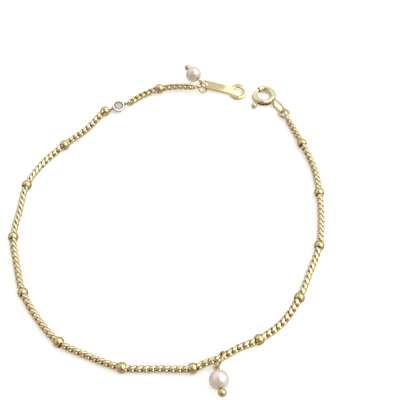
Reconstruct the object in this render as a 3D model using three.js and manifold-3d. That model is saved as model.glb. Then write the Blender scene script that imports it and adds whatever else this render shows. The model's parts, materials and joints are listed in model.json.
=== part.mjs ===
// Pearl chain bracelet, lying open on a flat surface. Millimetres, +Z up.
import * as THREE from 'three';
import { mergeVertices } from 'three/addons/utils/BufferGeometryUtils.js';
import Module from 'manifold-3d';

const wasm = await Module();
wasm.setup();

// Chain and ball beads
const CHAIN_RADIUS = 0.6;
const CHAIN_SIDES = 8;
const CHAIN_SAG = 0.38;
const FULL_SAG_SPAN = 10;
const LOWEST_CHAIN_HEIGHT = 0.63;
const BEAD_RADIUS = 1.02;
const BEAD_BORE = 0.74;
const BEAD_SIDES = 14;
const BEAD_STEPS = 6;
const MAIN_RUN_STEPS = 76;
const TAG_RUN_STEPS = 10;

// Places along the chain, from the tag end round to the clasp. Bow is how far the middle
// of the stretch that follows bulges out of the loop
const STATIONS = [
  { holds: 'bead', x: -8.4, y: 27.9, bow: 0.2 },
  { holds: 'bead', x: -19.3, y: 21.8, bow: -0.1 },
  { holds: 'bead', x: -26.8, y: 13.0, bow: 0.9 },
  { holds: 'bead', x: -33.2, y: 3.2, bow: 0.35 },
  { holds: 'bead', x: -34.4, y: -8.6, bow: 0.3 },
  { holds: 'bead', x: -31.3, y: -20.3, bow: 0.55 },
  { holds: 'bead', x: -24.1, y: -29.9, bow: 0.25 },
  { holds: 'bead', x: -13.1, y: -34.6, bow: 0.05 },
  { holds: 'bead', x: -1.2, y: -34.7, bow: -0.12 },
  { holds: 'drop', x: 3.29, y: -33.1, bow: -0.3 },
  { holds: 'bead', x: 10.1, y: -29.4, bow: 0.8 },
  { holds: 'bead', x: 17.5, y: -21.3, bow: 0.1 },
  { holds: 'bead', x: 21.8, y: -10.5, bow: 0.25 },
  { holds: 'bead', x: 22.7, y: 1.4, bow: 0.4 },
  { holds: 'bead', x: 20.2, y: 13.4, bow: 0.1 },
];
const FIRST_MAIN_STATION = 1;
const DROP_CHAIN_HEIGHT = 1.5;

// Stretched end links of the two chain runs
const LINK_WIRE = 0.3;
const SETTING_LINK = { radius: 0.38, stretch: 0.26 };
const TAG_LINK = { radius: 0.46, stretch: 0.2 };
const CLASP_LINK = { radius: 0.48, stretch: 0.23 };
const LINK_CLEARANCE = 0.08;

// Round stone in its cup setting
const SETTING_AT = new THREE.Vector3(-16.7, 23.05, 0);
const SETTING_RADIUS = 1.25;
const SETTING_FOOT_RADIUS = 1.08;
const SETTING_HEIGHT = 1.5;
const SETTING_FLARE_HEIGHT = 0.75;
const SETTING_EYE_HEIGHT = 0.92;
const SETTING_EYE = { radius: 0.37, wire: 0.24, out: 1.48 };
const SEAT_RADIUS = 1.03;
const LIP_RADIUS = 0.91;
const LIP_DEPTH = 0.2;
const SEAT_HEIGHT = 0.98;
const WELL_RADIUS = 0.78;
const WELL_HEIGHT = 0.3;
const STONE_RADIUS = 0.97;
const STONE_GIRDLE = 0.08;
const STONE_TABLE_RADIUS = 0.56;
const STONE_CROWN = 0.3;
const STONE_PAVILION = 0.56;
const STONE_CLEARANCE = 0.1;
const STONE_SIDES = 16;

// Pearl drops
const PEARL_SIDES = 16;
const PEARL_STEPS = 11;
const PEARL_BORE = 0.22;
const PIN_WIRE = 0.3;
const PIN_EYE = { radius: 0.46, wire: 0.28 };
const PIN_GAP = 0.06;
const MAIN_DROP = { pearl: 1.68, neck: 0.04, ball: 0.74 };
const TAG_DROP = { pearl: 1.6, neck: 0.6, ball: 0.66 };
const MAIN_DROP_EYE = new THREE.Vector3(2.73, -34.81, 1.39);
const MAIN_DROP_WAY = new THREE.Vector3(0.187, -0.973, 0.135).normalize();
const TAG_DROP_WAY = new THREE.Vector3(-0.545, 0.838, -0.025).normalize();
const DROP_RING = { radius: 1.48, wire: 0.4, turn: 73, lean: -22, pinAt: 188 };

// Tag plate with its jump ring
const TAG_EYE_AT = new THREE.Vector3(1.1, 29.1, 1.0);
const TAG_TURN = -14.3;
const TAG_ROLL = 10;
const TAG_PITCH = 3;
const TAG_THICKNESS = 0.36;
const TAG_LENGTH = 7.0;
const TAG_EYE = { outer: 0.98, hole: 0.6 };
const TAG_CATCH = { outer: 1.83, hole: 0.97 };
const TAG_NECK_HALF = 0.92;
const TAG_RING = { radius: 1.05, wire: 0.4, turn: 58, lean: 48, tagAt: -5, pinAt: 60, chainAt: 135 };

// Spring ring clasp. Angles are degrees round the ring from +X
const CLASP_AT = new THREE.Vector3(13.2, 26.3, 0.65);
const CLASP_RADIUS = 1.88;
const CLASP_TUBE = { outer: 0.61, inner: 0.45 };
const CLASP_MOUTH = { start: 121, end: 181 };
const CLASP_SLOT = { start: 225, end: 299, half: 0.21 };
const CLASP_STEPS = 40;
const TONGUE = { radius: 0.29, start: 117, end: 258, steps: 20 };
const KNOB = { angle: 232, radius: 0.6, out: 3.45, stem: 0.13 };
const EYELET = { angle: 309, near: 2.74, radius: 1.1, stretch: 0.6, wire: 0.55, height: 1.38 };
const SOLDER = { from: 2.25, to: 3.0, radius: 0.34, lift: 0.12 };
const CLASP_RING = { radius: 1.0, wire: 0.5, out: 6.2, height: 0.72 };
const CHAIN_LEAVES_CLASP = new THREE.Vector3(0.375, -0.927, 0);

// How finely round shapes are cut
const RING_SIDES = 14;
const RING_WIRE_SIDES = 6;
const BALL_SIDES = 12;
const BALL_STEPS = 8;
const ARC_SEGMENTS = 20;

const UP = new THREE.Vector3(0, 0, 1);

// Materials

function metal(color, roughness) {
  return new THREE.MeshStandardMaterial({ color, roughness, metalness: 1 });
}

const GOLD = metal(0xe2c988, 0.22);
const WHITE_METAL = metal(0xdcdad2, 0.18);
const NACRE = new THREE.MeshStandardMaterial({ color: 0xf3ece2, roughness: 0.2, metalness: 0 });
const CRYSTAL = new THREE.MeshStandardMaterial({ color: 0xf4f4f0, roughness: 0.03, metalness: 0 });

// Joining and cutting of closed meshes

function solid(geometry) {
  const bare = geometry.clone();
  bare.deleteAttribute('normal');
  bare.deleteAttribute('uv');
  const merged = mergeVertices(bare, 1e-5);
  return new wasm.Manifold(new wasm.Mesh({
    numProp: 3,
    vertProperties: new Float32Array(merged.attributes.position.array),
    triVerts: new Uint32Array(merged.index.array),
  }));
}

function shell(body) {
  const mesh = body.getMesh();
  const geometry = new THREE.BufferGeometry();
  geometry.setAttribute('position', new THREE.BufferAttribute(mesh.vertProperties, 3));
  geometry.setIndex(new THREE.BufferAttribute(mesh.triVerts, 1));
  geometry.computeVertexNormals();
  return geometry;
}

function joined(...geometries) {
  return shell(geometries.map(solid).reduce((whole, piece) => whole.add(piece)));
}

function cut(geometry, tool) {
  return shell(solid(geometry).subtract(solid(tool)));
}

// Basic shapes

function degrees(value) {
  return THREE.MathUtils.degToRad(value);
}

function polar(angle, out) {
  return new THREE.Vector3(Math.cos(degrees(angle)) * out, Math.sin(degrees(angle)) * out, 0);
}

// Moves a shape so that its own z runs along axis and its own x as near to side as it can
function placed(geometry, at, axis, side) {
  const z = axis.clone().normalize();
  const y = new THREE.Vector3().crossVectors(z, side).normalize();
  const x = new THREE.Vector3().crossVectors(y, z);
  const matrix = new THREE.Matrix4().makeBasis(x, y, z).setPosition(at);
  return geometry.clone().applyMatrix4(matrix);
}

function ring({ radius, wire }) {
  return new THREE.TorusGeometry(radius, wire / 2, RING_WIRE_SIDES, RING_SIDES);
}

// A ring pulled apart along its own x into a link with two straight sides
function link({ radius, wire, stretch }) {
  const geometry = ring({ radius, wire });
  const position = geometry.attributes.position;
  for (let i = 0; i < position.count; i += 1) {
    const x = position.getX(i);
    position.setX(i, x + Math.sign(x) * stretch);
  }
  return geometry;
}

function disc(radius, sides) {
  const shape = new THREE.Shape();
  for (let i = 0; i < sides; i += 1) {
    const p = polar((360 * i) / sides, radius);
    if (i === 0) shape.moveTo(p.x, p.y);
    else shape.lineTo(p.x, p.y);
  }
  shape.closePath();
  return shape;
}

function tube(path, radius, steps) {
  return new THREE.ExtrudeGeometry(disc(radius, CHAIN_SIDES), { steps, extrudePath: path });
}

// A lathe whose axis is z, through profile rows of radius and height
function turned(rows, sides) {
  const points = rows.map(([radius, height]) => new THREE.Vector2(radius, height));
  return new THREE.LatheGeometry(points, sides).rotateX(Math.PI / 2);
}

// A ball drilled along z
function drilledBall(radius, bore, steps, sides) {
  const open = Math.asin(bore / radius);
  const rows = [];
  for (let i = 0; i <= steps; i += 1) {
    const angle = open + ((Math.PI - 2 * open) * i) / steps;
    rows.push([Math.sin(angle) * radius, -Math.cos(angle) * radius]);
  }
  rows.push(rows[0]);
  return turned(rows, sides);
}

function ball(radius) {
  return new THREE.SphereGeometry(radius, BALL_SIDES, BALL_STEPS);
}

class Arc extends THREE.Curve {
  constructor(radius, start, end) {
    super();
    this.radius = radius;
    this.start = start;
    this.end = end;
  }

  getPoint(t, target = new THREE.Vector3()) {
    return target.copy(polar(THREE.MathUtils.lerp(this.start, this.end, t), this.radius));
  }
}

// Route of the chain

function stationPoint(station) {
  const height = station.holds === 'bead' ? BEAD_RADIUS : DROP_CHAIN_HEIGHT;
  return new THREE.Vector3(station.x, station.y, height);
}

// The lowest place of the stretch between two stations
function middle(from, to, bow) {
  const way = new THREE.Vector3().subVectors(to, from);
  const span = way.length();
  const out = new THREE.Vector3(way.y, -way.x, 0).normalize();
  const point = new THREE.Vector3().addVectors(from, to).multiplyScalar(0.5);
  point.addScaledVector(out, bow);
  const sag = CHAIN_SAG * Math.min(1, span / FULL_SAG_SPAN);
  return point.setZ(Math.max(point.z - sag, LOWEST_CHAIN_HEIGHT));
}

function route(points) {
  return new THREE.CatmullRomCurve3(points, false, 'centripetal');
}

// Where the chain runs meet the setting, the tag and the clasp

const firstBead = stationPoint(STATIONS[0]);
const secondBead = stationPoint(STATIONS[FIRST_MAIN_STATION]);
const settingEyeCentre = SETTING_AT.clone().setZ(SETTING_EYE_HEIGHT);
const settingWay = new THREE.Vector3().subVectors(secondBead, settingEyeCentre).setZ(0).normalize();

const clasp = { way: polar(EYELET.angle, 1) };
clasp.ringAt = CLASP_AT.clone().addScaledVector(clasp.way, CLASP_RING.out).setZ(CLASP_RING.height);

// A leaning ring whose wire runs through a given point at the angle where it holds that
// piece. Angles go up from the ring's level direction. Its top leans towards the left of
// that direction, or to the right where the lean is negative
function leaningRing({ radius, turn, lean }, heldPoint, heldAt) {
  const across = polar(turn, 1);
  const rise = polar(turn + 90, 1).multiplyScalar(Math.sin(degrees(lean)));
  rise.addScaledVector(UP, Math.cos(degrees(lean)));
  const outward = (angle) => {
    const out = across.clone().multiplyScalar(Math.cos(degrees(angle)));
    return out.addScaledVector(rise, Math.sin(degrees(angle)));
  };
  const at = heldPoint.clone().addScaledVector(outward(heldAt), -radius);
  return {
    at,
    across,
    normal: new THREE.Vector3().crossVectors(across, rise),
    point: (angle) => at.clone().addScaledVector(outward(angle), radius),
    wireWay: (angle) => outward(angle + 90),
  };
}

const dropRing = leaningRing(DROP_RING, MAIN_DROP_EYE, DROP_RING.pinAt);
const tagRing = leaningRing(TAG_RING, TAG_EYE_AT, TAG_RING.tagAt);

// An end link that holds a wire of the given thickness at its near end, and the point
// where the chain goes on from its far end
function endLink(shape, heldAt, heldWire, way, axis) {
  const reach = shape.radius + shape.stretch;
  const slack = (heldWire + LINK_WIRE) / 2 + LINK_CLEARANCE;
  const centre = heldAt.clone().addScaledVector(way, reach - slack);
  return {
    geometry: placed(link({ ...shape, wire: LINK_WIRE }), centre, axis, way),
    chainFrom: centre.clone().addScaledVector(way, reach - LINK_WIRE / 2),
  };
}

function settingEnd(way) {
  const heldAt = settingEyeCentre.clone().addScaledVector(way, SETTING_EYE.out + SETTING_EYE.radius);
  const sideways = new THREE.Vector3().crossVectors(UP, way);
  return endLink(SETTING_LINK, heldAt, SETTING_EYE.wire, way, sideways);
}

// Chain runs and their beads

function tagSideRun() {
  const heldAt = tagRing.point(TAG_RING.chainAt);
  const leaving = new THREE.Vector3().subVectors(firstBead, heldAt).setZ(0).normalize();
  const axis = tagRing.wireWay(TAG_RING.chainAt).projectOnPlane(leaving);
  const tagEnd = endLink(TAG_LINK, heldAt, TAG_RING.wire, leaving, axis);
  const stoneEnd = settingEnd(settingWay.clone().negate());
  const { bow } = STATIONS[0];
  const path = route([
    tagEnd.chainFrom,
    middle(tagEnd.chainFrom, firstBead, bow),
    firstBead,
    middle(firstBead, stoneEnd.chainFrom, bow),
    stoneEnd.chainFrom,
  ]);
  return { path, ends: [tagEnd.geometry, stoneEnd.geometry] };
}

function mainRun() {
  const stoneEnd = settingEnd(settingWay);
  const heldAt = clasp.ringAt.clone().addScaledVector(CHAIN_LEAVES_CLASP, CLASP_RING.radius);
  const sideways = new THREE.Vector3().crossVectors(UP, CHAIN_LEAVES_CLASP);
  const claspEnd = endLink(CLASP_LINK, heldAt, CLASP_RING.wire, CHAIN_LEAVES_CLASP, sideways);
  const stations = STATIONS.slice(FIRST_MAIN_STATION);
  const points = [stoneEnd.chainFrom];
  stations.forEach((station, i) => {
    const here = stationPoint(station);
    const next = i + 1 < stations.length ? stationPoint(stations[i + 1]) : claspEnd.chainFrom;
    points.push(here, middle(here, next, station.bow));
  });
  points.push(claspEnd.chainFrom);
  return { path: route(points), ends: [stoneEnd.geometry, claspEnd.geometry] };
}

function chain(run, steps) {
  return joined(tube(run.path, CHAIN_RADIUS, steps), ...run.ends);
}

// A bead lies along the run that it is threaded on
function bead(station, run) {
  const at = stationPoint(station);
  const row = run.path.points.findIndex((point) => point.distanceTo(at) < PIN_GAP);
  const way = run.path.getTangent(row / (run.path.points.length - 1));
  return placed(drilledBall(BEAD_RADIUS, BEAD_BORE, BEAD_STEPS, BEAD_SIDES), at, way, UP);
}

// Stone and setting

function setting() {
  const cup = turned([
    [0, 0],
    [SETTING_FOOT_RADIUS, 0],
    [SETTING_RADIUS, SETTING_FLARE_HEIGHT],
    [SETTING_RADIUS, SETTING_HEIGHT - LIP_DEPTH / 2],
    [SETTING_RADIUS - LIP_DEPTH / 2, SETTING_HEIGHT],
    [LIP_RADIUS, SETTING_HEIGHT],
    [SEAT_RADIUS, SETTING_HEIGHT - LIP_DEPTH],
    [SEAT_RADIUS, SEAT_HEIGHT],
    [WELL_RADIUS, SEAT_HEIGHT],
    [WELL_RADIUS, WELL_HEIGHT],
    [0, WELL_HEIGHT],
  ], STONE_SIDES);
  const eyes = [1, -1].map((side) => {
    const at = settingWay.clone().multiplyScalar(side * SETTING_EYE.out).setZ(SETTING_EYE_HEIGHT);
    return placed(ring(SETTING_EYE), at, UP, settingWay);
  });
  const seat = turned([
    [0, WELL_HEIGHT],
    [WELL_RADIUS, WELL_HEIGHT],
    [WELL_RADIUS, SEAT_HEIGHT],
    [SEAT_RADIUS, SEAT_HEIGHT],
    [SEAT_RADIUS, SETTING_HEIGHT - LIP_DEPTH],
    [LIP_RADIUS, SETTING_HEIGHT],
    [0, SETTING_HEIGHT],
  ], STONE_SIDES);
  return cut(joined(cup, ...eyes), seat).translate(SETTING_AT.x, SETTING_AT.y, 0);
}

function stone() {
  const girdle = SEAT_HEIGHT + STONE_CLEARANCE;
  return turned([
    [0, girdle - STONE_PAVILION],
    [STONE_RADIUS, girdle],
    [STONE_RADIUS, girdle + STONE_GIRDLE],
    [STONE_TABLE_RADIUS, girdle + STONE_GIRDLE + STONE_CROWN],
    [0, girdle + STONE_GIRDLE + STONE_CROWN],
  ], STONE_SIDES / 2).translate(SETTING_AT.x, SETTING_AT.y, 0);
}

// Pearl drops, made along +z from the centre of the pin's eye

function pearlOffset({ pearl, neck }) {
  return PIN_EYE.radius + PIN_EYE.wire / 2 + neck + pearl;
}

function pin(size) {
  const ballAt = pearlOffset(size) + size.pearl + PIN_GAP + size.ball;
  const eye = ring(PIN_EYE).rotateY(Math.PI / 2);
  const wire = turned([
    [0, PIN_EYE.radius],
    [PIN_WIRE / 2, PIN_EYE.radius],
    [PIN_WIRE / 2, ballAt],
    [0, ballAt],
  ], CHAIN_SIDES);
  return joined(eye, wire, ball(size.ball).translate(0, 0, ballAt));
}

function pearl(size) {
  return drilledBall(size.pearl, PEARL_BORE, PEARL_STEPS, PEARL_SIDES).translate(0, 0, pearlOffset(size));
}

// A pin's eye opens as near as it can along the wire that runs through it

function onMainDrop(shape) {
  return placed(shape, MAIN_DROP_EYE, MAIN_DROP_WAY, dropRing.wireWay(DROP_RING.pinAt));
}

function onTagDrop(shape) {
  return placed(shape, tagRing.point(TAG_RING.pinAt), TAG_DROP_WAY, tagRing.wireWay(TAG_RING.pinAt));
}

// Tag

function tagOutline() {
  const shape = new THREE.Shape();
  const meetEye = Math.asin(TAG_NECK_HALF / TAG_EYE.outer);
  const meetCatch = Math.asin(TAG_NECK_HALF / TAG_CATCH.outer);
  shape.absarc(0, 0, TAG_EYE.outer, meetEye, 2 * Math.PI - meetEye, false);
  shape.absarc(TAG_LENGTH, 0, TAG_CATCH.outer, meetCatch - Math.PI, Math.PI - meetCatch, false);
  shape.closePath();
  const eyeHole = new THREE.Path().absarc(0, 0, TAG_EYE.hole, 0, 2 * Math.PI, true);
  const catchHole = new THREE.Path().absarc(TAG_LENGTH, 0, TAG_CATCH.hole, 0, 2 * Math.PI, true);
  shape.holes.push(eyeHole, catchHole);
  return shape;
}

function tag() {
  const options = { depth: TAG_THICKNESS, bevelEnabled: false, curveSegments: ARC_SEGMENTS };
  const plate = new THREE.ExtrudeGeometry(tagOutline(), options).translate(0, 0, -TAG_THICKNESS / 2);
  plate.rotateX(degrees(TAG_ROLL)).rotateY(degrees(TAG_PITCH)).rotateZ(degrees(TAG_TURN));
  return plate.translate(TAG_EYE_AT.x, TAG_EYE_AT.y, TAG_EYE_AT.z);
}

// Clasp, made round the centre of its ring

function claspBody() {
  const section = disc(CLASP_TUBE.outer, RING_SIDES);
  section.holes.push(disc(CLASP_TUBE.inner, RING_SIDES));
  const arc = new Arc(CLASP_RADIUS, CLASP_MOUTH.end, CLASP_MOUTH.start + 360);
  const hollow = new THREE.ExtrudeGeometry(section, { steps: CLASP_STEPS, extrudePath: arc });

  const slotShape = new THREE.Shape();
  const slotReach = CLASP_RADIUS + CLASP_TUBE.outer * 2;
  slotShape.absarc(0, 0, slotReach, degrees(CLASP_SLOT.start), degrees(CLASP_SLOT.end), false);
  slotShape.absarc(0, 0, CLASP_RADIUS, degrees(CLASP_SLOT.end), degrees(CLASP_SLOT.start), true);
  slotShape.closePath();
  const slotOptions = { depth: CLASP_SLOT.half * 2, bevelEnabled: false, curveSegments: ARC_SEGMENTS };
  const slot = new THREE.ExtrudeGeometry(slotShape, slotOptions).translate(0, 0, -CLASP_SLOT.half);

  const sideways = new THREE.Vector3().crossVectors(UP, clasp.way);
  const eyeletOut = EYELET.near + EYELET.radius + EYELET.stretch;
  const eyeletAt = clasp.way.clone().multiplyScalar(eyeletOut).setZ(EYELET.height - CLASP_AT.z);
  const eyelet = placed(link(EYELET), eyeletAt, sideways, clasp.way);
  const solder = turned([
    [0, SOLDER.from],
    [SOLDER.radius, SOLDER.from],
    [SOLDER.radius, SOLDER.to],
    [0, SOLDER.to],
  ], CHAIN_SIDES);
  const solderPlaced = placed(solder, new THREE.Vector3(0, 0, SOLDER.lift), clasp.way, UP);
  return joined(cut(hollow, slot), eyelet, solderPlaced);
}

function claspTrigger() {
  const tongue = tube(new Arc(CLASP_RADIUS, TONGUE.start, TONGUE.end), TONGUE.radius, TONGUE.steps);
  const stem = turned([
    [0, CLASP_RADIUS],
    [KNOB.stem, CLASP_RADIUS],
    [KNOB.stem, KNOB.out],
    [0, KNOB.out],
  ], CHAIN_SIDES);
  const stemPlaced = placed(stem, new THREE.Vector3(), polar(KNOB.angle, 1), UP);
  const knobAt = polar(KNOB.angle, KNOB.out);
  return joined(tongue, stemPlaced, ball(KNOB.radius).translate(knobAt.x, knobAt.y, 0));
}

// Assembly, centred over the origin and standing on z = 0

const bracelet = new THREE.Group();

function add(name, geometry, material, at = new THREE.Vector3()) {
  const mesh = new THREE.Mesh(geometry, material);
  mesh.name = name;
  mesh.position.copy(at);
  bracelet.add(mesh);
}

const tagRun = tagSideRun();
const longRun = mainRun();
add('chain_tag_side', chain(tagRun, TAG_RUN_STEPS), GOLD);
add('chain_main', chain(longRun, MAIN_RUN_STEPS), GOLD);
STATIONS.filter((station) => station.holds === 'bead').forEach((station, index) => {
  const run = index < FIRST_MAIN_STATION ? tagRun : longRun;
  add(`bead_${String(index + 1).padStart(2, '0')}`, bead(station, run), GOLD);
});
add('setting', setting(), WHITE_METAL);
add('stone', stone(), CRYSTAL);
add('drop_ring', placed(ring(DROP_RING), dropRing.at, dropRing.normal, dropRing.across), GOLD);
add('drop_pin', onMainDrop(pin(MAIN_DROP)), GOLD);
add('drop_pearl', onMainDrop(pearl(MAIN_DROP)), NACRE);
add('tag', tag(), GOLD);
add('tag_ring', placed(ring(TAG_RING), tagRing.at, tagRing.normal, tagRing.across), GOLD);
add('tag_pin', onTagDrop(pin(TAG_DROP)), GOLD);
add('tag_pearl', onTagDrop(pearl(TAG_DROP)), NACRE);
add('clasp_body', claspBody(), GOLD, CLASP_AT);
add('clasp_trigger', claspTrigger(), GOLD, CLASP_AT);
add('clasp_ring', ring(CLASP_RING), GOLD, clasp.ringAt);

const box = new THREE.Box3().setFromObject(bracelet);
const centre = box.getCenter(new THREE.Vector3());
bracelet.position.set(-centre.x, -centre.y, -box.min.z);

const model = new THREE.Group();
model.add(bracelet);

export default model;
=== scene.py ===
"""Pearl chain bracelet, lying open on a pale floor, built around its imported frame.

Shapes are worked out in millimetres, in the frame's own axes, and become metres when a piece is made.
"""

import json
import math

import bmesh
import bpy
import numpy as np
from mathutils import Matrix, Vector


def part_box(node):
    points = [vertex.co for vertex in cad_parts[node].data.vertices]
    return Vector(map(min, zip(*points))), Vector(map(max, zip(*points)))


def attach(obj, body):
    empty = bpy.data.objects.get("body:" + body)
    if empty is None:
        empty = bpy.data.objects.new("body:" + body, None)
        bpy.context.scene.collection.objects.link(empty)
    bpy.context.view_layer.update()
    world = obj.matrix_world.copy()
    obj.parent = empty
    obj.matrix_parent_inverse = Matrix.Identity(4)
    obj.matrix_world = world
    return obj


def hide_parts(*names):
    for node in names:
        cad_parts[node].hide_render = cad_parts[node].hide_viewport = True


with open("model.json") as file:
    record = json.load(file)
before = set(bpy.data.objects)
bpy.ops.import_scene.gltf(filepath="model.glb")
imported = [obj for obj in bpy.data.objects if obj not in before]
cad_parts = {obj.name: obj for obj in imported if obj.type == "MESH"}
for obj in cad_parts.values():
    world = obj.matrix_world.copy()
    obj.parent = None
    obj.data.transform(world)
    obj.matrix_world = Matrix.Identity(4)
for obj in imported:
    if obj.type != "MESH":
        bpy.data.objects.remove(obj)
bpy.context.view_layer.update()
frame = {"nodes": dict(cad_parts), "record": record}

MM = 0.001
UP = np.array([0.0, 0.0, 1.0])
RNG = np.random.default_rng(7)

# Camera of the photograph, in degrees and millimetres, with its near limit in metres. It aims
# at a place measured from the foot of the stone's setting
CAMERA_ELEVATION = 55.0
CAMERA_DISTANCE = 171.0
CAMERA_AIM = np.array([16.7, -23.05, 0.6])
CAMERA_LENS = 81.0
CAMERA_SENSOR = 36.0
CAMERA_NEAR = 0.01

# Chain. A curb link is an oval of wire with a twist, cut flat on its faces and edges and round
# at the corners between them, and every link is the same way round
LINK_HALF_LENGTH = 0.82
LINK_HALF_WIDTH = 0.48
LINK_TWIST = -0.42
LINK_WIRE = 0.56
LINK_PITCH = 1.13
LINK_FLAT = {"edge": 0.65, "face": 0.6, "corner": 0.66}
ROLL_JITTER = 3.0
CHAIN_SAG = 0.2
FULL_SAG_SPAN = 10.0
LOWEST_CHAIN_HEIGHT = 0.63
ROUTE_STEPS = 60

# How far the stretch after each bead and the drop bulges out of the loop, and how far its first
# and last links are rolled about the chain's line, towards the inside of the loop
STRETCHES = [
    {"node": "bead_01", "bow": 0.48, "rolls": (25, 25)},
    {"node": "bead_02", "bow": -0.35, "rolls": (52, 40)},
    {"node": "bead_03", "bow": 0.84, "rolls": (55, 112)},
    {"node": "bead_04", "bow": 0.15, "rolls": (106, 106)},
    {"node": "bead_05", "bow": 0.24, "rolls": (148, 140)},
    {"node": "bead_06", "bow": 0.52, "rolls": (132, 134)},
    {"node": "bead_07", "bow": 0.24, "rolls": (128, 128)},
    {"node": "bead_08", "bow": 0.06, "rolls": (122, 130)},
    {"node": "bead_09", "bow": -0.12, "rolls": (138, 138)},
    {"node": "drop_ring", "bow": -0.25, "rolls": (138, 136)},
    {"node": "bead_10", "bow": 0.83, "rolls": (130, 132)},
    {"node": "bead_11", "bow": 0.13, "rolls": (104, 112)},
    {"node": "bead_12", "bow": 0.38, "rolls": (62, 60)},
    {"node": "bead_13", "bow": 0.72, "rolls": (66, 48)},
    {"node": "bead_14", "bow": 0.1, "rolls": (45, 45)},
]

# Where the chain passes through the drop's ring, from the ring's centre
CHAIN_IN_DROP_RING = np.array([0.058, 0.331, -0.081])

# Ball beads
BEAD_RADIUS = 0.98
BEAD_BORE = 0.76

# End links of the two chain runs, and the way that the chain leaves the clasp's ring
END_WIRE = 0.38
END_CLEARANCE = 0.08
SETTING_LINK = {"radius": 0.38, "stretch": 0.26}
TAG_LINK = {"radius": 0.46, "stretch": 0.2}
CLASP_LINK = {"radius": 0.48, "stretch": 0.23}
CHAIN_LEAVES_CLASP = np.array([0.375, -0.927, 0.0])

# Stone and its cup. The stone's star and culet corners are shares of its table, crown, radius
# and pavilion
CUP_RADIUS = 1.25
CUP_FOOT_RADIUS = 0.72
CUP_BASE = 0.2
CUP_HEIGHT = 1.5
CUP_FLARE_HEIGHT = 1.05
CUP_TILT = 18.0
CUP_EYE = {"radius": 0.37, "wire": 0.28, "out": 1.48, "height": 0.92, "reach": 150.0}
SEAT_RADIUS = 1.03
SEAT_HEIGHT = 0.98
LIP_RADIUS = 0.91
LIP_DEPTH = 0.2
WELL_RADIUS = 0.7
WELL_HEIGHT = 0.45
STONE_RADIUS = 0.97
STONE_TABLE = 0.56
STONE_GIRDLE = 0.08
STONE_CROWN = 0.3
STONE_STAR = {"out": 1.36, "height": 0.66}
STONE_PAVILION = 0.56
STONE_CULET = {"out": 0.24, "depth": 0.79}
STONE_CLEARANCE = 0.1

# Pearl drops. The pin's wire is bent through a turn in degrees, which begins a lead before the eye
PIN_EYE = {"radius": 0.46, "wire": 0.28, "turn": 344.0, "lead": 0.12}
PIN_GAP = 0.06
PEARL_BORE = 0.22
MAIN_DROP = {"pearl": 1.68, "neck": 0.04, "ball": 0.74}
TAG_DROP = {"pearl": 1.6, "neck": 0.6, "ball": 0.66}
PEARL_SWELL = 0.02
PEARL_WAVES = {"count": 6, "spread": 2.2}

# Tag plate. The chain holds the tag's ring at an angle in degrees round the ring
TAG_THICKNESS = 0.36
TAG_LENGTH = 7.0
TAG_EYE = {"outer": 0.98, "hole": 0.6}
TAG_CATCH = {"outer": 1.83, "hole": 0.97}
TAG_NECK_HALF = 0.92
TAG_EDGE = 0.09
CHAIN_ON_TAG_RING = 135.0

# Gap between the two ends of a jump ring
RING_SEAM = 0.04

# Spring ring clasp. Angles are degrees round the ring from +X
CLASP_RADIUS = 1.88
CLASP_TUBE = {"outer": 0.61, "inner": 0.45}
CLASP_MOUTH = {"start": 121.0, "end": 181.0}
CLASP_SLOT = {"start": 225.0, "end": 299.0, "half": 0.21, "round": 5.5}
TONGUE = {"radius": 0.29, "start": 117.0, "end": 258.0}
KNOB = {"angle": 232.0, "radius": 0.6, "out": 3.45, "stem": 0.13}
EYELET = {"angle": 309.0, "near": 2.74, "radius": 1.1, "stretch": 0.6, "wire": 0.55, "height": 1.38}
SOLDER = {"from": 2.2, "to": 3.05, "radius": 0.4, "lift": 0.12}
BLUNT_TIP = 0.0004

# How finely shapes are cut: steps along a line and sides round it
FINENESS = {
    "link": {"steps": 30, "sides": 12},
    "end_link": {"steps": 48, "sides": 12},
    "jump_ring": {"steps": 96, "sides": 18},
    "bead": {"steps": 20, "sides": 40},
    "cup": {"sides": 72},
    "cup_eye": {"steps": 36, "sides": 14},
    "pin_eye": {"steps": 60, "sides": 16},
    "pin": {"steps": 12},
    "pearl": {"steps": 56, "sides": 72},
    "ball": {"steps": 28, "sides": 40},
    "tag_eye": {"steps": 48},
    "tag_catch": {"steps": 72},
    "tag_catch_hole": {"steps": 64},
    "clasp_tube": {"steps": 121, "sides": 40},
    "slot_end": {"steps": 23},
    "eyelet": {"steps": 84, "sides": 20},
    "solder": {"steps": 20, "sides": 32},
    "tongue": {"steps": 60, "sides": 20},
    "stem": {"steps": 4, "sides": 14},
}

# Width of the softened corners of pieces, and the angles in degrees from which a corner is sharp
SOFT_EDGE = {"bead": 0.03, "cup": 0.04, "jump_ring": 0.025, "pearl": 0.05, "clasp": 0.025}
EDGE_STEPS = 3
SHARP_ANGLE = 40.0
STONE_SHARP_ANGLE = 2.0
FACET_ANGLE = 0.5
WELD = 1e-4

# Plated metals: rows of noise value and colour, and the lowest and highest roughness. The chain
# and the clasp have the paler gold
METALS = {
    "gold": {
        "tones": [(0.25, (0.635, 0.52, 0.285)), (0.5, (0.685, 0.565, 0.32)), (0.75, (0.725, 0.61, 0.365))],
        "roughness": (0.06, 0.14),
    },
    "chain_gold": {
        "tones": [(0.25, (0.78, 0.685, 0.45)), (0.5, (0.825, 0.735, 0.495)), (0.75, (0.865, 0.785, 0.56))],
        "roughness": (0.1, 0.2),
    },
    "white_metal": {
        "tones": [(0.3, (0.74, 0.71, 0.65)), (0.7, (0.86, 0.84, 0.79))],
        "roughness": (0.1, 0.22),
    },
}
METAL_CLOUD = {"scale": 0.6}
METAL_MARKS = {"scale": 3.0, "detail": 6.0}
METAL_LINES = {"scale": 9.0, "detail": 4.0, "stretch": (1.0, 0.25, 1.0)}
METAL_RELIEF = {"strength": 0.12, "depth": 0.01}

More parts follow.
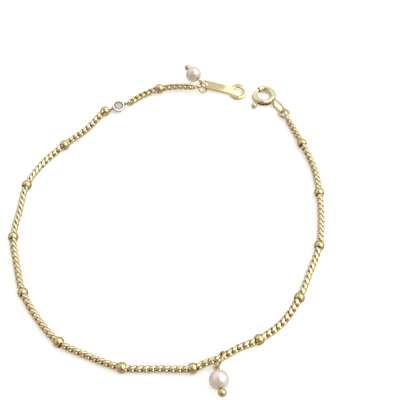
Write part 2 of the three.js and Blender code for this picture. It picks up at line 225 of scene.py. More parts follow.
# Painted shade: how far round a crevice the metal's colour is painted darker, in millimetres, and by how
# much
CREVICE = 0.6
CREVICE_SAMPLES = 8
CREVICE_PAINTED_SHADE = [(0.1, (0.36, 0.29, 0.17)), (0.38, (0.82, 0.77, 0.65)), (0.65, (1.0, 1.0, 1.0))]

# Pearl
NACRE_TONES = [(0.3, (0.73, 0.63, 0.59)), (0.5, (0.80, 0.74, 0.69)), (0.7, (0.86, 0.83, 0.81))]
NACRE_CLOUD = {"scale": 0.35, "detail": 4.0}
NACRE_SKIN = {"scale": 2.2, "detail": 5.0}
NACRE_RELIEF = {"strength": 0.15, "depth": 0.02}
NACRE_ROUGHNESS = (0.12, 0.26)
NACRE_VALUES = {
    "Subsurface Weight": 0.25,
    "Subsurface Scale": 0.5 * MM,
    "Subsurface Radius": (1.0, 0.8, 0.65),
    "IOR": 1.6,
    "Metallic": 0.38,
    "Coat Weight": 0.6,
    "Coat Roughness": 0.06,
    "Thin Film Thickness": 420.0,
    "Thin Film IOR": 1.45,
}

# Cut stone
CRYSTAL_TONES = [(0.3, (0.97, 0.95, 0.9)), (0.7, (1.0, 0.99, 0.95))]
CRYSTAL_CLOUD = {"scale": 0.8}
CRYSTAL_MARKS = {"scale": 4.0, "detail": 5.0}
CRYSTAL_ROUGHNESS = (0.0, 0.04)
CRYSTAL_VALUES = {"Transmission Weight": 0.6, "IOR": 1.8}

# The part of a noise's range that is spread over a roughness
NOISE_MIDDLE = (0.3, 0.7)

# Stage, in metres. The room is pale above, dim along the horizon, and dark on the camera's side
FLOOR_SIZE = 4.0
PAPER = (0.98, 0.98, 0.98)
# The floor's colour in the metal's reflections is painted darker than the paper, a painted shade in those
# reflections
PAPER_SHADE_IN_METAL = (0.24, 0.19, 0.13)
PAPER_VALUES = {
    "Roughness": 0.8,
    "Specular IOR Level": 0.1,
    "Emission Color": (*PAPER, 1),
    "Emission Strength": 0.36,
}
PAPER_GRAIN = {"scale": 4.0}
PAPER_RELIEF = {"strength": 0.05, "depth": 0.02}
KEY_LIGHT = {"azimuth": -5.0, "elevation": 50.0, "distance": 0.9, "size": 1.3, "power": 6.0}
DARK_SIDE = (-0.1, -0.7, 0.71)
ROOM_SHADES = [
    (0.0, (1.04, 1.04, 1.04)),
    (0.45, (1.0, 0.99, 0.97)),
    (0.74, (0.62, 0.54, 0.42)),
    (0.94, (0.34, 0.28, 0.19)),
]
HORIZON_SHADES = [(0.1, (0.42, 0.36, 0.28)), (0.26, (0.72, 0.68, 0.6)), (0.42, (1.0, 1.0, 1.0))]


# Vectors

def unit(vector):
    return vector / np.linalg.norm(vector)


def level(vector):
    """The level direction of a vector."""
    return unit(vector * [1, 1, 0])


def polar(angle, out=1.0):
    turn = math.radians(angle)
    return np.array([math.cos(turn) * out, math.sin(turn) * out, 0.0])


def basis(axis, side):
    """Rows x, y and z, with z along axis and x as near to side as it can be."""
    z = unit(axis)
    y = unit(np.cross(z, side))
    return np.array([np.cross(y, z), y, z])


# Shapes are pairs of corner points and faces

def grid(rows, columns, closed):
    """Faces of a sheet of points that is closed across, and along as well where closed is true."""
    faces = []
    for i in range(rows if closed else rows - 1):
        for j in range(columns):
            here, there = i * columns, (i + 1) % rows * columns
            turn = (j + 1) % columns
            faces.append((here + j, here + turn, there + turn, there + j))
    return faces


def joined(*shapes):
    points, faces, start = [], [], 0
    for shape_points, shape_faces in shapes:
        points.append(shape_points)
        faces += [tuple(start + corner for corner in face) for face in shape_faces]
        start += len(shape_points)
    return np.concatenate(points), faces


def placed(shape, at, axis=UP, side=np.array([1.0, 0.0, 0.0])):
    """The shape with its own z along axis and its own x as near to side as it can be."""
    points, faces = shape
    return points @ basis(axis, side) + at, faces


def swept(points, reference, radius, sides, closed=False):
    """A round wire along points. Reference is a direction that the wire never takes."""
    points = np.asarray(points, float)
    if closed:
        along = np.roll(points, -1, axis=0) - np.roll(points, 1, axis=0)
    else:
        along = np.gradient(points, axis=0)
    across = np.cross(reference, along)
    across /= np.linalg.norm(across, axis=1)[:, None]
    rise = np.cross(along, across)
    rise /= np.linalg.norm(rise, axis=1)[:, None]
    turn = np.arange(sides) * math.tau / sides
    section = np.cos(turn)[:, None] * across[:, None] + np.sin(turn)[:, None] * rise[:, None]
    thickness = np.broadcast_to(radius, len(points))[:, None, None]
    corners = (points[:, None] + thickness * section).reshape(-1, 3)
    faces = grid(len(points), sides, closed)
    if not closed:
        faces.append(tuple(reversed(range(sides))))
        faces.append(tuple(range(len(corners) - sides, len(corners))))
    return corners, faces


def turned(rows, sides):
    """A lathe about z through rows of radius and height, from the bottom up the outside."""
    rows = np.asarray(rows, float)
    turn = np.arange(sides) * math.tau / sides
    circle = np.stack([np.cos(turn), np.sin(turn)], axis=1)
    flat = rows[:, None, :1] * circle[None]
    height = np.broadcast_to(rows[:, None, 1:], (len(rows), sides, 1))
    return np.concatenate([flat, height], axis=2).reshape(-1, 3), grid(len(rows), sides, False)


def ball_rows(radius, bore, steps):
    """The outside of a ball on a lathe, open at both ends where it is drilled."""
    opening = math.asin(bore / radius)
    angles = np.linspace(opening, math.pi - opening, steps + 1)
    return np.stack([np.sin(angles) * radius, -np.cos(angles) * radius], axis=1)


def solid_ball(radius, steps, sides):
    return turned(ball_rows(radius, 0.0, steps), sides)


def drilled_ball(radius, bore, steps, sides):
    rows = ball_rows(radius, bore, steps)
    return turned(np.concatenate([rows, rows[:1]]), sides)


def oval(radius, stretch, steps):
    """Points round a ring that is pulled apart along x into a link."""
    turn = (np.arange(steps) + 0.5) * math.tau / steps
    x = np.cos(turn) * radius
    return np.stack([x + np.sign(x) * stretch, np.sin(turn) * radius, 0 * turn], axis=1)


def arc(radius, start, end, steps):
    turn = np.radians(np.linspace(start, end, steps + 1))
    return np.stack([np.cos(turn), np.sin(turn), 0 * turn], axis=1) * radius


def round_ended(points, radius, steps=5):
    """A line made longer at both ends, with radii that close it in half balls."""
    first = unit(points[0] - points[1])
    last = unit(points[-1] - points[-2])
    lift = np.sin(np.linspace(0, math.pi / 2, steps + 1)[1:])
    out = radius * lift[:, None]
    shrink = radius * np.sqrt(np.maximum(1 - lift ** 2, BLUNT_TIP))
    line = np.concatenate([(points[0] + first * out)[::-1], points, points[-1] + last * out])
    radii = np.concatenate([shrink[::-1], np.full(len(points), radius), shrink])
    return line, radii


# What the frame says

def node_points(node):
    """The corners of a node's solid."""
    mesh = frame["nodes"][node].data
    points = np.empty(len(mesh.vertices) * 3)
    mesh.vertices.foreach_get("co", points)
    return np.unique(np.round(points.reshape(-1, 3) / MM, 5), axis=0)


def centre(node):
    low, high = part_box(node)
    return np.array((low + high) / 2) / MM


def ring_of(node):
    """A ring node's centre, normal, radius and wire."""
    points = node_points(node)
    at = points.mean(axis=0)
    spread = points - at
    normal = np.linalg.svd(spread, full_matrices=False)[2][2]
    height = spread @ normal
    out = np.linalg.norm(spread - np.outer(height, normal), axis=1)
    wire = 2 * math.sqrt(np.mean((out - out.mean()) ** 2 + height ** 2))
    return {"at": at, "normal": normal, "radius": out.mean(), "wire": wire}


def long_axis(node, away_from):
    """The long direction of a node, pointing away from a place."""
    points = node_points(node)
    axis = np.linalg.svd(points - points.mean(axis=0), full_matrices=False)[2][0]
    return axis * np.sign(axis @ (points.mean(axis=0) - away_from))


# Materials

def new_material(name, values):
    """A material whose shader has values on its named sockets."""
    material = bpy.data.materials.new(name)
    material.use_nodes = True
    nodes = material.node_tree.nodes
    shader = nodes["Principled BSDF"]
    for socket, value in values.items():
        shader.inputs[socket].default_value = value
    place = nodes.new("ShaderNodeTexCoord")
    return material, nodes, material.node_tree.links, shader, place.outputs["Object"]


def noise(nodes, links, place, scale, detail=3.0, stretch=None):
    """Noise by place on the object, with scale in cells for each millimetre."""
    if stretch:
        mapping = nodes.new("ShaderNodeMapping")
        mapping.inputs["Scale"].default_value = stretch
        links.new(place, mapping.inputs["Vector"])
        place = mapping.outputs["Vector"]
    texture = nodes.new("ShaderNodeTexNoise")
    texture.inputs["Scale"].default_value = scale / MM
    texture.inputs["Detail"].default_value = detail
    links.new(place, texture.inputs["Vector"])
    return texture.outputs["Fac"]


def colours(nodes, links, value, stops):
    """A colour ramp over value, through rows of position and colour."""
    ramp = nodes.new("ShaderNodeValToRGB")
    elements = ramp.color_ramp.elements
    while len(elements) < len(stops):
        elements.new(0.5)
    for element, (position, colour) in zip(elements, stops):
        element.position = position
        element.color = (*colour, 1)
    links.new(value, ramp.inputs["Fac"])
    return ramp.outputs["Color"]


def between(nodes, links, value, low, high):
    """Value spread from low to high over the middle of a noise's range."""
    spread = nodes.new("ShaderNodeMapRange")
    spread.inputs["From Min"].default_value = NOISE_MIDDLE[0]
    spread.inputs["From Max"].default_value = NOISE_MIDDLE[1]
    spread.inputs["To Min"].default_value = low
    spread.inputs["To Max"].default_value = high
    links.new(value, spread.inputs["Value"])
    return spread.outputs["Result"]


def bump(nodes, links, shader, height, strength, depth):
    """Raises the surface by height, with depth in millimetres."""
    node = nodes.new("ShaderNodeBump")
    node.inputs["Strength"].default_value = strength
    node.inputs["Distance"].default_value = depth * MM
    links.new(height, node.inputs["Height"])
    links.new(node.outputs["Normal"], shader.inputs["Normal"])


def paint_crevice_shade(nodes, links, colour, shades):
    """Colour with painted shade in the crevices, through rows of openness and shade."""
    crevice = nodes.new("ShaderNodeAmbientOcclusion")
    crevice.inputs["Distance"].default_value = CREVICE * MM
    crevice.samples = CREVICE_SAMPLES
    product = nodes.new("ShaderNodeVectorMath")
    product.operation = "MULTIPLY"
    links.new(colour, product.inputs[0])
    links.new(colours(nodes, links, crevice.outputs["AO"], shades), product.inputs[1])
    return product.outputs["Vector"]


def plated_metal(name):
    """Polished plated wire: uneven colour, painted shade in the crevices, handling marks and fine drawn
    lines.
    """
    metal = METALS[name]
    material, nodes, links, shader, place = new_material(name, {"Metallic": 1.0})
    cloud = noise(nodes, links, place, **METAL_CLOUD)
    tone = colours(nodes, links, cloud, metal["tones"])
    links.new(paint_crevice_shade(nodes, links, tone, CREVICE_PAINTED_SHADE), shader.inputs["Base Color"])
    marks = noise(nodes, links, place, **METAL_MARKS)
    links.new(between(nodes, links, marks, *metal["roughness"]), shader.inputs["Roughness"])
    lines = noise(nodes, links, place, **METAL_LINES)
    bump(nodes, links, shader, lines, **METAL_RELIEF)
    return material


def nacre():
    """Pearl: cloudy cream body, pink and green overtones, glassy top layer."""
    material, nodes, links, shader, place = new_material("nacre", NACRE_VALUES)
    cloud = noise(nodes, links, place, **NACRE_CLOUD)
    links.new(colours(nodes, links, cloud, NACRE_TONES), shader.inputs["Base Color"])
    skin = noise(nodes, links, place, **NACRE_SKIN)
    links.new(between(nodes, links, skin, *NACRE_ROUGHNESS), shader.inputs["Roughness"])
    bump(nodes, links, shader, skin, **NACRE_RELIEF)
    return material


def crystal():
    """Clear cut stone with faint polish marks."""
    material, nodes, links, shader, place = new_material("crystal", CRYSTAL_VALUES)
    cloud = noise(nodes, links, place, **CRYSTAL_CLOUD)
    links.new(colours(nodes, links, cloud, CRYSTAL_TONES), shader.inputs["Base Color"])
    marks = noise(nodes, links, place, **CRYSTAL_MARKS)
    links.new(between(nodes, links, marks, *CRYSTAL_ROUGHNESS), shader.inputs["Roughness"])
    return material


GOLD = plated_metal("gold")
CHAIN_GOLD = plated_metal("chain_gold")
WHITE_METAL = plated_metal("white_metal")
NACRE = nacre()
CRYSTAL = crystal()


# Pieces

def piece(name, shape, material, node, body="bracelet", edge=0.0, sharp=SHARP_ANGLE):
    """A finished object that stands for a node. Edge is the width of its softened corners."""
    points, faces = shape
    mesh = bpy.data.meshes.new(name)
    mesh.from_pydata((points * MM).tolist(), [], faces)
    work = bmesh.new()
    work.from_mesh(mesh)
    bmesh.ops.remove_doubles(work, verts=work.verts, dist=WELD * MM)
    bmesh.ops.dissolve_degenerate(work, edges=work.edges, dist=WELD * MM)
    if edge:
        corners = [e for e in work.edges if e.calc_face_angle(0) > math.radians(sharp)]
        bmesh.ops.bevel(work, geom=corners, offset=edge * MM, segments=EDGE_STEPS, profile=0.5,
                        affect="EDGES", clamp_overlap=True)
    work.to_mesh(mesh)
    work.free()
    mesh.shade_smooth()
    mesh.set_sharp_from_angle(angle=math.radians(sharp))
    mesh.materials.append(material)
    obj = bpy.data.objects.new(name, mesh)
    bpy.context.collection.objects.link(obj)
    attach(obj, body)
    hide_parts(node)


# Chain

def middle(start, end, bow):
    """The lowest place of the stretch between two points."""
    way = end - start
    out = level(np.array([way[1], -way[0], 0.0]))
    sag = CHAIN_SAG * min(1.0, np.linalg.norm(way) / FULL_SAG_SPAN)
    lowest = (start + end) / 2 + out * bow - UP * sag
    lowest[2] = max(lowest[2], LOWEST_CHAIN_HEIGHT)
    return lowest


def mixed(a, b, knot_a, knot_b, t):
    return ((knot_b - t) * a + (t - knot_a) * b) / (knot_b - knot_a)


def route(points):
    """A smooth line through points, finely cut, with the row of each point in it."""
    ends = [2 * points[0] - points[1], *points, 2 * points[-1] - points[-2]]
    line, rows = [], []
    for corners in zip(ends, ends[1:], ends[2:], ends[3:]):
        knots = [0.0]
        for a, b in zip(corners, corners[1:]):
            knots.append(knots[-1] + math.sqrt(np.linalg.norm(b - a)))
        t = np.linspace(knots[1], knots[2], ROUTE_STEPS, endpoint=False)[:, None]
        pairs = [mixed(corners[i], corners[i + 1], knots[i], knots[i + 1], t) for i in range(3)]
        halves = [mixed(pairs[i], pairs[i + 1], knots[i], knots[i + 2], t) for i in range(2)]
        rows.append(len(line))
        line.extend(mixed(halves[0], halves[1], knots[1], knots[2], t))
    rows.append(len(line))
    line.append(points[-1])
    return np.array(line), rows


def strung(stations, end):
    """The points of a run through stations, each followed by the middle of its stretch."""
    points = []
    for here, following in zip(stations, [*stations[1:], {"at": end}]):
        points += [here["at"], middle(here["at"], following["at"], here["bow"])]
    return [*points, end]


def curb_link():
    fine = FINENESS["link"]
    turn = np.arange(fine["steps"]) * math.tau / fine["steps"]
    line = np.stack([
        LINK_HALF_LENGTH * np.cos(turn),
        LINK_HALF_WIDTH * np.sin(turn),
        LINK_TWIST * np.sin(2 * turn),
    ], axis=1)
    points, faces = swept(line, UP, LINK_WIRE / 2, fine["sides"], closed=True)
    limits = np.array([LINK_HALF_LENGTH + LINK_WIRE, LINK_FLAT["edge"], LINK_FLAT["face"]])
    points = np.clip(points, -limits, limits)
    out = np.linalg.norm(points[:, 1:], axis=1)
    points[:, 1:] *= (LINK_FLAT["corner"] / np.maximum(out, LINK_FLAT["corner"]))[:, None]
    return points, faces


def chain_links(points, turns):
    """Curb links along a smooth line through points.

    Turns are rows of a point and of the first and last roll, in degrees, of the stretch after it.
    """
    line, rows = route(points)
    steps = np.linalg.norm(np.diff(line, axis=0), axis=1)
    run = np.concatenate([[0.0], np.cumsum(steps)])
    hooked = LINK_HALF_LENGTH - LINK_WIRE / 2
    count = round((run[-1] - 2 * hooked) / LINK_PITCH) + 1
    places = np.linspace(hooked, run[-1] - hooked, count)
    starts = [run[rows[point]] for point, _ in turns]
    marks, rolls = [], []
    for start, end, (_, stretch_rolls) in zip(starts, [*starts[1:], run[-1]], turns):
        marks += [start + BEAD_RADIUS, end - BEAD_RADIUS]
        rolls += stretch_rolls
    rolls = np.interp(places, marks, rolls)
    rolled = np.radians(rolls + RNG.uniform(-ROLL_JITTER, ROLL_JITTER, count))

    def spot(distance):
        return np.stack([np.interp(distance, run, line[:, k]) for k in range(3)], axis=1)

    ways = spot(places + LINK_PITCH / 2) - spot(places - LINK_PITCH / 2)
    link = curb_link()
    shapes = []
    for at, way, roll in zip(spot(places), ways, rolled):
        left = level(np.cross(UP, way))
        face = unit(np.cross(way, left)) * math.cos(roll) + left * math.sin(roll)
        shapes.append(placed(link, at, face, way))
    return joined(*shapes)


def end_link(shape, held_at, held_wire, way, axis):
    """A link that holds a wire at its near end, and the point where the chain goes on from it."""
    reach = shape["radius"] + shape["stretch"]
    slack = (held_wire + END_WIRE) / 2 + END_CLEARANCE
    at = held_at + way * (reach - slack)
    fine = FINENESS["end_link"]
    line = oval(shape["radius"], shape["stretch"], fine["steps"])
    loop = swept(line, UP, END_WIRE / 2, fine["sides"], closed=True)
    return placed(loop, at, axis, way), at + way * (reach - END_WIRE / 2)


def stations():
    """The beads and the drop's place along the chain, with their bows and rolls."""
    found = []
    for stretch in STRETCHES:
        at = centre(stretch["node"])
        if stretch["node"] == "drop_ring":
            at = DROP_RING["at"] + CHAIN_IN_DROP_RING
        found.append({**stretch, "at": at})
    return found


TAG_RING = ring_of("tag_ring")
CLASP_RING = ring_of("clasp_ring")
DROP_RING = ring_of("drop_ring")
STATIONS = stations()
CUP_AT = centre("setting") * [1, 1, 0]
CUP_WAY = level(STATIONS[1]["at"] - CUP_AT)
CLASP_AT = np.array(frame["record"]["behaviour"]["joints"][0]["pos_m"]) / MM


def cup_end(way):
    held_at = CUP_AT + UP * CUP_EYE["height"] + way * (CUP_EYE["out"] + CUP_EYE["radius"])
    return end_link(SETTING_LINK, held_at, CUP_EYE["wire"], way, np.cross(UP, way))


def tag_end():
    """The chain holds the tag's ring on the far side, up from the ring's level direction."""
    across = level(np.cross(UP, TAG_RING["normal"]))
    across = across * np.sign(across @ (TAG_EYE_AT - TAG_RING["at"]))
    rise = np.cross(TAG_RING["normal"], across)
    rise = rise * np.sign(rise[2])
    turn = math.radians(CHAIN_ON_TAG_RING)
    held_at = TAG_RING["at"] + TAG_RING["radius"] * (across * math.cos(turn) + rise * math.sin(turn))
    way = level(STATIONS[0]["at"] - held_at)
    wire_way = rise * math.cos(turn) - across * math.sin(turn)
    return end_link(TAG_LINK, held_at, TAG_RING["wire"], way, wire_way - way * (wire_way @ way))


def clasp_end():
    held_at = CLASP_RING["at"] + CHAIN_LEAVES_CLASP * CLASP_RING["radius"]
    sideways = np.cross(UP, CHAIN_LEAVES_CLASP)
    return end_link(CLASP_LINK, held_at, CLASP_RING["wire"], CHAIN_LEAVES_CLASP, sideways)


def make_chains():
    tag_loop, tag_from = tag_end()
    stone_loop, stone_from = cup_end(-CUP_WAY)
    first = STATIONS[0]
    points = strung([{"at": tag_from, "bow": first["bow"]}, first], stone_from)
    chain = chain_links(points, [(0, first["rolls"])])
    piece("chain_links_tag_side", joined(chain, tag_loop, stone_loop), CHAIN_GOLD, "chain_tag_side")

    stone_loop, stone_from = cup_end(CUP_WAY)
    clasp_loop, clasp_from = clasp_end()
    main = STATIONS[1:]
    points = [stone_from, *strung(main, clasp_from)]
    turns = [(1 + 2 * i, station["rolls"]) for i, station in enumerate(main)]
    chain = chain_links(points, turns)
    piece("chain_links_main", joined(chain, stone_loop, clasp_loop), CHAIN_GOLD, "chain_main")


def make_beads():
    ball = drilled_ball(BEAD_RADIUS, BEAD_BORE, **FINENESS["bead"])
    line = [station["at"] for station in STATIONS]
    for i, station in enumerate(STATIONS):
        if station["node"].startswith("bead"):
            before, after = line[max(i - 1, 0)], line[min(i + 1, len(line) - 1)]
            shape = placed(ball, station["at"], after - before, UP)
            piece(station["node"] + "_ball", shape, GOLD, station["node"], edge=SOFT_EDGE["bead"])


# Stone in its cup

def tilted(points):
    """Points about the cup's foot, with the cup rolled about the chain's line to face the front."""
    pivot = UP * CUP_EYE["height"]
    front = np.cross(UP, CUP_WAY)
    turn = math.radians(CUP_TILT)
    rolled_front = front * math.cos(turn) - UP * math.sin(turn)
    rolled_up = UP * math.cos(turn) + front * math.sin(turn)
    along = (points - pivot) @ np.array([CUP_WAY, front, UP]).T
    return along @ np.array([CUP_WAY, rolled_front, rolled_up]) + pivot


def make_setting():
    cup = turned([
        [0, CUP_BASE],
        [CUP_FOOT_RADIUS, CUP_BASE],
        [CUP_RADIUS, CUP_FLARE_HEIGHT],
        [CUP_RADIUS, CUP_HEIGHT - LIP_DEPTH / 2],
        [CUP_RADIUS - LIP_DEPTH / 2, CUP_HEIGHT],
        [LIP_RADIUS, CUP_HEIGHT],
        [SEAT_RADIUS, CUP_HEIGHT - LIP_DEPTH],
        [SEAT_RADIUS, SEAT_HEIGHT],
        [WELL_RADIUS, SEAT_HEIGHT],
        [WELL_RADIUS, WELL_HEIGHT],
        [0, WELL_HEIGHT],
    ], **FINENESS["cup"])
    fine = FINENESS["cup_eye"]
    line = arc(CUP_EYE["radius"], -CUP_EYE["reach"], CUP_EYE["reach"], fine["steps"])
    half_loop = swept(line, UP, CUP_EYE["wire"] / 2, fine["sides"])
    eyes = []
    for way in (CUP_WAY, -CUP_WAY):
        at = UP * CUP_EYE["height"] + way * CUP_EYE["out"]
        eyes.append(placed(half_loop, at, UP, way))
    points, faces = joined(cup, *eyes)
    shape = (tilted(points) + CUP_AT, faces)
    piece("cup_setting", shape, WHITE_METAL, "setting", edge=SOFT_EDGE["cup"])


def make_stone():
    """A round brilliant: table, star, kite and girdle facets over a pavilion of long facets."""
    girdle = SEAT_HEIGHT + STONE_CLEARANCE
    top = girdle + STONE_GIRDLE
    star = STONE_TABLE * STONE_STAR["out"]
    star_height = top + STONE_CROWN * STONE_STAR["height"]
    culet = STONE_RADIUS * STONE_CULET["out"]
    culet_height = girdle - STONE_PAVILION * STONE_CULET["depth"]
    rings = [
        {"count": 8, "shift": 0.0, "radius": STONE_TABLE, "height": top + STONE_CROWN},
        {"count": 8, "shift": 0.5, "radius": star, "height": star_height},
        {"count": 16, "shift": 0.0, "radius": STONE_RADIUS, "height": top},
        {"count": 16, "shift": 0.0, "radius": STONE_RADIUS, "height": girdle},
        {"count": 8, "shift": 0.5, "radius": culet, "height": culet_height},
    ]
    corners = [[0, 0, girdle - STONE_PAVILION]]
    for ring in rings:
        for k in range(ring["count"]):
            angle = 360 * (k + ring["shift"]) / ring["count"]
            corners.append(polar(angle, ring["radius"]) + UP * ring["height"])
    work = bmesh.new()
    for corner in corners:
        work.verts.new(corner)
    bmesh.ops.convex_hull(work, input=work.verts)
    flat = math.radians(FACET_ANGLE)
    bmesh.ops.dissolve_limit(work, angle_limit=flat, verts=work.verts, edges=work.edges)
    work.verts.index_update()
    points = tilted(np.array([vertex.co for vertex in work.verts])) + CUP_AT
    faces = [tuple(vertex.index for vertex in face.verts) for face in work.faces]
    work.free()
    piece("brilliant_stone", (points, faces), CRYSTAL, "stone", sharp=STONE_SHARP_ANGLE)


# Jump rings

def make_jump_ring(name, ring, node, seam_way):
    """A ring of round wire whose two ends meet in a fine seam, on the side that seam_way points to."""
    gap = math.degrees(RING_SEAM / ring["radius"]) / 2
    fine = FINENESS["jump_ring"]
    loop = swept(arc(ring["radius"], gap, 360 - gap, fine["steps"]), UP, ring["wire"] / 2, fine["sides"])
    shape = placed(loop, ring["at"], ring["normal"], seam_way)
    piece(name, shape, GOLD, node, edge=SOFT_EDGE["jump_ring"])


# Pearl drops, made along +z from the centre of the pin's eye

def pearl_offset(size):
    return PIN_EYE["radius"] + PIN_EYE["wire"] / 2 + size["neck"] + size["pearl"]


def pin_shape(size):
    """A ball-ended wire, bent over into a round eye."""
    ball_at = pearl_offset(size) + size["pearl"] + PIN_GAP + size["ball"]
    bend = PIN_EYE["radius"]
    fine = FINENESS["pin_eye"]
    turn = np.radians(np.linspace(0, PIN_EYE["turn"], fine["steps"]))
    eye = np.stack([0 * turn, np.sin(turn), np.cos(turn)], axis=1) * bend
    straight = np.linspace(UP * ball_at, UP * (bend + PIN_EYE["lead"]), FINENESS["pin"]["steps"])
    line = np.concatenate([straight, eye])
    wire = swept(line, np.array([1.0, 0, 0]), PIN_EYE["wire"] / 2, fine["sides"])
    points, faces = solid_ball(size["ball"], **FINENESS["ball"])
    return joined(wire, (points + UP * ball_at, faces))


def pearl_shape(size):
    """A drilled pearl with the slight swells of a natural one."""
    points, faces = drilled_ball(size["pearl"], PEARL_BORE, **FINENESS["pearl"])
    away = points / np.linalg.norm(points, axis=1)[:, None]
    waves = RNG.normal(0, PEARL_WAVES["spread"], (PEARL_WAVES["count"], 3))
    phases = RNG.uniform(0, math.tau, PEARL_WAVES["count"])
    swell = np.sin(away @ waves.T + phases).mean(axis=1)
    return points * (1 + PEARL_SWELL * swell[:, None]) + UP * pearl_offset(size), faces


def make_drop(names, nodes, size, ring):
    """A pin and its pearl, with the pin's eye round the wire of a ring."""
    pin_node, pearl_node = nodes
    way = long_axis(pin_node, ring["at"])
    eye = centre(pearl_node) - way * pearl_offset(size)
    wire_way = np.cross(ring["normal"], eye - ring["at"])
    pin = placed(pin_shape(size), eye, way, wire_way)
    pearl = placed(pearl_shape(size), eye, way, wire_way)
    piece(names[0], pin, GOLD, pin_node)
    piece(names[1], pearl, NACRE, pearl_node, edge=SOFT_EDGE["pearl"])


# Tag

def tag_outline():
    """The plate's outer loop and its two holes."""
    meet_eye = math.degrees(math.asin(TAG_NECK_HALF / TAG_EYE["outer"]))
    meet_catch = math.degrees(math.asin(TAG_NECK_HALF / TAG_CATCH["outer"]))
    along = np.array([TAG_LENGTH, 0, 0])
    eye = arc(TAG_EYE["outer"], meet_eye, 360 - meet_eye, **FINENESS["tag_eye"])
    catch = arc(TAG_CATCH["outer"], meet_catch - 180, 180 - meet_catch, **FINENESS["tag_catch"]) + along
    eye_hole = arc(TAG_EYE["hole"], 360, 0, **FINENESS["tag_eye"])[:-1]
    catch_hole = arc(TAG_CATCH["hole"], 360, 0, **FINENESS["tag_catch_hole"])[:-1] + along
    return [np.concatenate([eye, catch]), eye_hole, catch_hole]


def plate(loops, thickness, edge):
    """A flat plate with softened edges, cut to a loop and pierced by the others."""
    curve = bpy.data.curves.new("plate_outline", "CURVE")
    curve.dimensions = "2D"
    curve.fill_mode = "BOTH"
    curve.extrude = thickness / 2 - edge
    curve.bevel_depth = edge
    curve.bevel_resolution = EDGE_STEPS
    curve.offset = -edge
    for loop in loops:
        spline = curve.splines.new("POLY")
        spline.points.add(len(loop) - 1)
        for point, place in zip(spline.points, loop):
            point.co = (*place, 1)
        spline.use_cyclic_u = True
    maker = bpy.data.objects.new("plate_outline", curve)
    mesh = bpy.data.meshes.new_from_object(maker)
    points = np.array([vertex.co for vertex in mesh.vertices])
    faces = [tuple(polygon.vertices) for polygon in mesh.polygons]
    bpy.data.objects.remove(maker)
    bpy.data.curves.remove(curve)
    bpy.data.meshes.remove(mesh)
    return points, faces


def make_tag():
    points = node_points("tag")
    face = np.linalg.svd(points - points.mean(axis=0), full_matrices=False)[2][2]
    shape = plate(tag_outline(), TAG_THICKNESS, TAG_EDGE)
    piece("tag_plate", placed(shape, TAG_EYE_AT, face * np.sign(face[2]), TAG_WAY), GOLD, "tag")


def tag_place():
    """The direction of the tag and the centre of its eye."""
    points = node_points("tag")
    way = long_axis("tag", TAG_RING["at"])
    middle_line = points.mean(axis=0)
    near = ((points - middle_line) @ way).min()
    return way, middle_line + way * (near + TAG_EYE["outer"])


# Clasp, made round the centre of its ring

def slot_half(angle):
    """Half the height of the slot at an angle, with round ends."""
    nearest = min(angle - CLASP_SLOT["start"], CLASP_SLOT["end"] - angle)
    inside = math.radians(nearest) * (CLASP_RADIUS + CLASP_TUBE["outer"]) / CLASP_SLOT["half"]
    if inside <= 0:
        return 0.0
    return CLASP_SLOT["half"] * math.sqrt(1 - (1 - min(inside, 1.0)) ** 2)


def clasp_tube():
    """A bent tube, open at its mouth and slotted along the outside for the trigger."""
    around = FINENESS["clasp_tube"]["sides"]
    steps = FINENESS["clasp_tube"]["steps"]
    angles = list(np.linspace(CLASP_MOUTH["end"], CLASP_MOUTH["start"] + 360, steps))
    near_end = np.linspace(-CLASP_SLOT["round"], CLASP_SLOT["round"], FINENESS["slot_end"]["steps"])
    for end in ("start", "end"):
        angles += list(CLASP_SLOT[end] + near_end)
    angles = np.unique(np.round(angles, 4))
    halves = [slot_half(angle) for angle in angles]
    points, faces = [], []
    for angle, half in zip(angles, halves):
        loop = []
        for radius, step in ((CLASP_TUBE["outer"], 1), (CLASP_TUBE["inner"], -1)):
            opening = math.asin(half / radius)
            turn = np.linspace(opening, math.tau - opening, around + 1)[::step]
            out = CLASP_RADIUS + radius * np.cos(turn)
            loop.append(out[:, None] * polar(angle) + radius * np.sin(turn)[:, None] * UP)
        points.append(np.concatenate(loop))
    columns = 2 * (around + 1)
    for i in range(len(angles) - 1):
        shut = halves[i] == 0 and halves[i + 1] == 0
        for j in range(columns):
            if shut and j in (around, columns - 1):
                continue
            turn = (j + 1) % columns
            here, there = i * columns, (i + 1) * columns
            faces.append((here + j, here + turn, there + turn, there + j))
    for start in (0, (len(angles) - 1) * columns):
        for k in range(around):
            far = columns - 1 - k
            faces.append((start + k, start + k + 1, start + far - 1, start + far))
    return np.concatenate(points), faces


def make_clasp():
    way = polar(EYELET["angle"])
    sideways = np.cross(UP, way)
    out = EYELET["near"] + EYELET["radius"] + EYELET["stretch"]
    eyelet_at = way * out + UP * (EYELET["height"] - CLASP_AT[2])
    fine = FINENESS["eyelet"]
    eyelet_line = oval(EYELET["radius"], EYELET["stretch"], fine["steps"])
    loop = swept(eyelet_line, UP, EYELET["wire"] / 2, fine["sides"], closed=True)
    half = (SOLDER["to"] - SOLDER["from"]) / 2
    lump_points, lump_faces = solid_ball(1.0, **FINENESS["solder"])
    lump = (lump_points * [SOLDER["radius"], SOLDER["radius"], half], lump_faces)
    lump_at = way * (SOLDER["from"] + half) + UP * SOLDER["lift"]
    points, faces = joined(
        clasp_tube(),
        placed(loop, eyelet_at, sideways, way),
        placed(lump, lump_at, way, UP),
    )
    shape = (points + CLASP_AT, faces)
    piece("clasp_ring_body", shape, CHAIN_GOLD, "clasp_body", edge=SOFT_EDGE["clasp"])


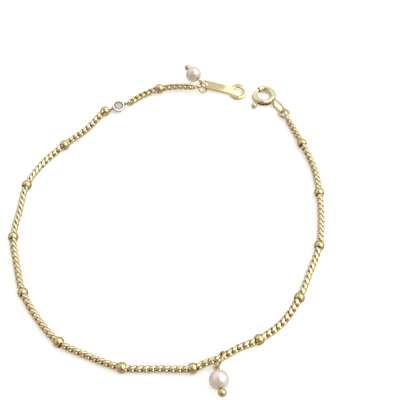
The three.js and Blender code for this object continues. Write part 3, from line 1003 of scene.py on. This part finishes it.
def make_trigger():
    fine = FINENESS["tongue"]
    tongue_line = arc(CLASP_RADIUS, TONGUE["start"], TONGUE["end"], fine["steps"])
    line, radii = round_ended(tongue_line, TONGUE["radius"])
    tongue = swept(line, UP, radii, fine["sides"])
    way = polar(KNOB["angle"])
    fine = FINENESS["stem"]
    stem_line = np.linspace(way * CLASP_RADIUS, way * KNOB["out"], fine["steps"])
    stem = swept(stem_line, UP, KNOB["stem"], fine["sides"])
    knob = placed(solid_ball(KNOB["radius"], **FINENESS["ball"]), way * KNOB["out"])
    points, faces = joined(tongue, stem, knob)
    shape = (points + CLASP_AT, faces)
    piece("clasp_trigger_tongue", shape, CHAIN_GOLD, "clasp_trigger", body="trigger")


# Stage

def make_floor():
    mesh = bpy.data.meshes.new("floor")
    half = FLOOR_SIZE / 2
    corners = [(-half, -half, 0), (half, -half, 0), (half, half, 0), (-half, half, 0)]
    mesh.from_pydata(corners, [], [(0, 1, 2, 3)])
    floor = bpy.data.objects.new("floor", mesh)
    bpy.context.collection.objects.link(floor)
    material, nodes, links, shader, place = new_material("floor_paper", PAPER_VALUES)
    # Glossy rays see the paper painted darker: a painted shade in the metal's reflections of the floor
    ray = nodes.new("ShaderNodeLightPath")
    stops = [(0.0, PAPER), (1.0, PAPER_SHADE_IN_METAL)]
    links.new(colours(nodes, links, ray.outputs["Is Glossy Ray"], stops), shader.inputs["Base Color"])
    bump(nodes, links, shader, noise(nodes, links, place, **PAPER_GRAIN), **PAPER_RELIEF)
    mesh.materials.append(material)


def softbox(name, azimuth, elevation, distance, size, power):
    """A square soft light that faces the bracelet. Azimuth 0 is along +X."""
    lamp = bpy.data.lights.new(name, "AREA")
    lamp.shape = "SQUARE"
    lamp.size = size
    lamp.energy = power
    tilt = math.radians(elevation)
    away = polar(azimuth) * math.cos(tilt) + UP * math.sin(tilt)
    holder = bpy.data.objects.new(name, lamp)
    holder.location = away * distance
    holder.rotation_euler = (math.pi / 2 - tilt, 0, math.radians(azimuth) + math.pi / 2)
    bpy.context.collection.objects.link(holder)


def make_light():
    softbox("key_light", **KEY_LIGHT)
    world = bpy.data.worlds.new("studio")
    world.use_nodes = True
    nodes, links = world.node_tree.nodes, world.node_tree.links
    place = nodes.new("ShaderNodeTexCoord")
    facing = nodes.new("ShaderNodeVectorMath")
    facing.operation = "DOT_PRODUCT"
    facing.inputs[1].default_value = DARK_SIDE
    links.new(place.outputs["Generated"], facing.inputs[0])
    height = nodes.new("ShaderNodeSeparateXYZ")
    links.new(place.outputs["Generated"], height.inputs["Vector"])
    shade = nodes.new("ShaderNodeVectorMath")
    shade.operation = "MULTIPLY"
    links.new(colours(nodes, links, facing.outputs["Value"], ROOM_SHADES), shade.inputs[0])
    links.new(colours(nodes, links, height.outputs["Z"], HORIZON_SHADES), shade.inputs[1])
    links.new(shade.outputs["Vector"], nodes["Background"].inputs["Color"])
    bpy.context.scene.world = world


def make_camera():
    lens = bpy.data.cameras.new("camera")
    lens.sensor_width = CAMERA_SENSOR
    lens.lens = CAMERA_LENS
    lens.clip_start = CAMERA_NEAR
    camera = bpy.data.objects.new("camera", lens)
    tilt = math.radians(CAMERA_ELEVATION)
    away = np.array([0.0, -math.cos(tilt), math.sin(tilt)])
    camera.location = (CUP_AT + CAMERA_AIM + away * CAMERA_DISTANCE) * MM
    camera.rotation_euler = (math.pi / 2 - tilt, 0, 0)
    bpy.context.collection.objects.link(camera)
    bpy.context.scene.camera = camera
    bpy.context.scene.view_settings.view_transform = "Standard"


TAG_WAY, TAG_EYE_AT = tag_place()

make_camera()
make_chains()
make_beads()
make_setting()
make_stone()
make_jump_ring("drop_jump_ring", DROP_RING, "drop_ring", -UP)
make_jump_ring("tag_jump_ring", TAG_RING, "tag_ring", -UP)
make_jump_ring("clasp_jump_ring", CLASP_RING, "clasp_ring", CHAIN_LEAVES_CLASP[[1, 0, 2]])
make_drop(("drop_head_pin", "drop_round_pearl"), ("drop_pin", "drop_pearl"), MAIN_DROP, DROP_RING)
make_drop(("tag_head_pin", "tag_round_pearl"), ("tag_pin", "tag_pearl"), TAG_DROP, TAG_RING)
make_tag()
make_clasp()
make_trigger()
make_floor()
make_light()
